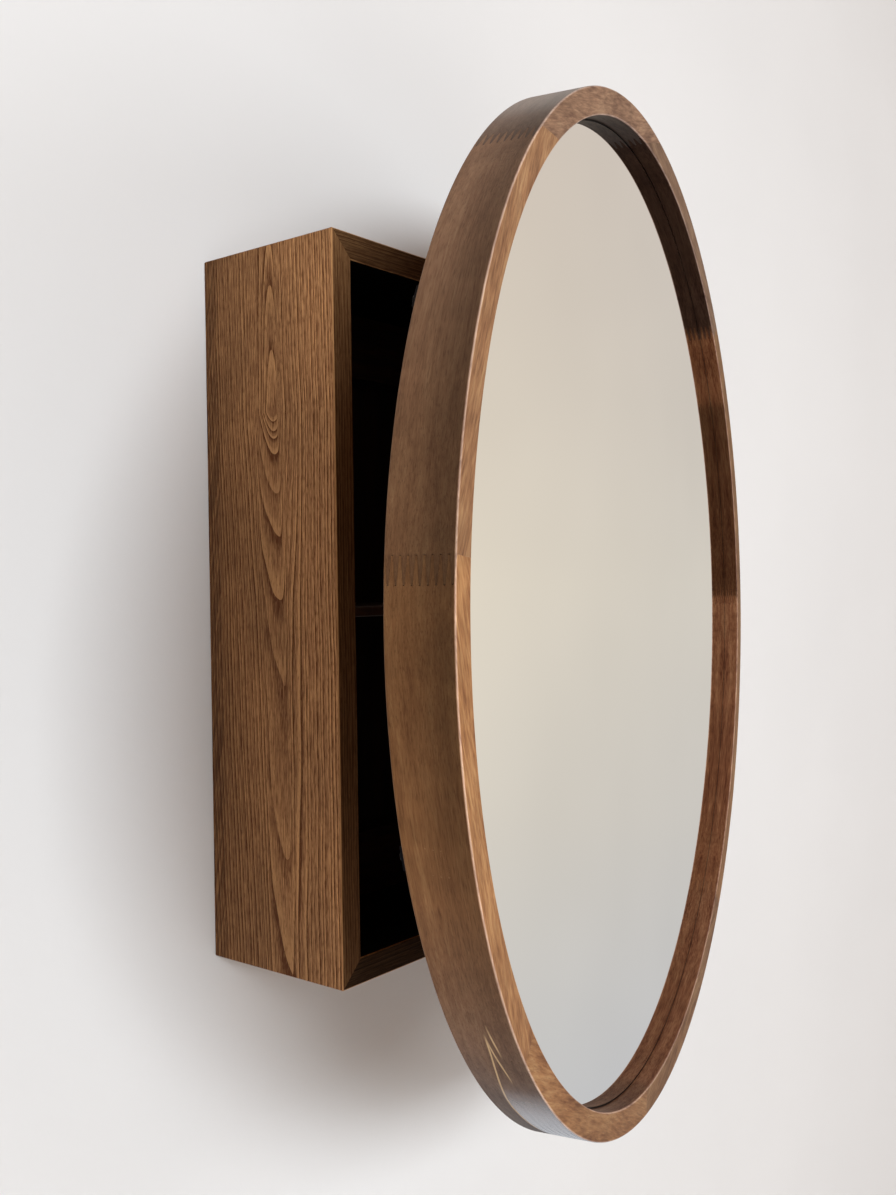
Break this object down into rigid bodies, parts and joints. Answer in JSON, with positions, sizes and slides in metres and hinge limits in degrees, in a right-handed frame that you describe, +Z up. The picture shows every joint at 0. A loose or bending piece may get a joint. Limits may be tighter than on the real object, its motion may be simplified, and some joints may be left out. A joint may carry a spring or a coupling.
{
  "type": "round mirror cabinet",
  "caption": "Wall cabinet of mitred boards with a shelf, closed by a large round mirror in a wooden ring that swings on side hinges.",
  "frame": {"origin": "middle of the cabinet's back face, on the wall", "axes": "+X to the viewer's right, +Y into the wall, +Z up; the door is on the -Y side"},
  "size_m": [0.7366, 0.3148, 0.75],
  "materials": {
    "cabinet_wood": "stained and waxed open-pored ash, satin",
    "ring_wood_light": "oiled walnut, satin",
    "ring_wood_dark": "oiled walnut, dark boards, satin",
    "shelf_wood": "dark stained wood, satin",
    "rail_wood": "dark stained wood, matt",
    "spline_ply": "birch plywood, raw",
    "dowel_wood": "beech, raw",
    "back_ply": "dark stained plywood, matt",
    "backing_ply": "birch plywood, matt lacquer",
    "mirror_glass": "silvered float glass, polished",
    "tape_foam": "closed-cell foam tape, matt",
    "hinge_brass": "antiqued brass, brushed",
    "pin_brass": "antiqued brass, turned",
    "brass_screw": "antiqued brass, turned",
    "zinc_screw": "zinc plated, bright",
    "pin_steel": "nickel plated, satin",
    "clip_steel": "black oxide, dull",
    "black_screw": "black oxide, turned",
    "pole_steel": "nickel plated, satin",
    "magnet": "sintered ferrite, matt",
    "catch_plastic": "dark brown moulded nylon, matt",
    "bumper_rubber": "soft rubber, matt"
  },
  "bodies": {
    "cabinet": {"left_side": "cabinet_wood", "right_side": "cabinet_wood", "top_panel": "cabinet_wood", "bottom_panel": "cabinet_wood", "corner_splines": "spline_ply", "back_panel": "back_ply", "top_hanging_rail": "rail_wood", "bottom_hanging_rail": "rail_wood", "rail_dowels": "dowel_wood", "back_panel_screws": "zinc_screw", "shelf": "shelf_wood", "shelf_pins": "pin_steel", "catch_housing": "catch_plastic", "catch_magnet": "magnet", "catch_poles": "pole_steel", "catch_screws": "zinc_screw", "upper_hinge_cabinet_leaf": "hinge_brass", "middle_hinge_cabinet_leaf": "hinge_brass", "lower_hinge_cabinet_leaf": "hinge_brass", "upper_hinge_pin": "pin_brass", "middle_hinge_pin": "pin_brass", "lower_hinge_pin": "pin_brass", "cabinet_leaf_screws": "brass_screw"},
    "mirror_door": {"ring_segment_1": "ring_wood_light", "ring_segment_2": "ring_wood_dark", "ring_segment_3": "ring_wood_dark", "ring_segment_4": "ring_wood_dark", "ring_segment_5": "ring_wood_light", "ring_segment_6": "ring_wood_light", "ring_segment_7": "ring_wood_light", "ring_segment_8": "ring_wood_light", "mirror_glass": "mirror_glass", "mirror_tape": "tape_foam", "backing_board": "backing_ply", "retaining_clips": "clip_steel", "clip_screws": "black_screw", "upper_hinge_door_leaf": "hinge_brass", "middle_hinge_door_leaf": "hinge_brass", "lower_hinge_door_leaf": "hinge_brass", "door_leaf_screws": "brass_screw", "strike_plate": "pole_steel", "strike_screws": "zinc_screw", "door_bumpers": "bumper_rubber"}
  },
  "joints": [
    {"name": "door_hinge", "type": "hinge", "parent": "cabinet", "child": "mirror_door", "pos_m": [0.2335, -0.129, 0], "axis": [0, 0, 1], "range_deg": [-14, 50]}
  ]
}
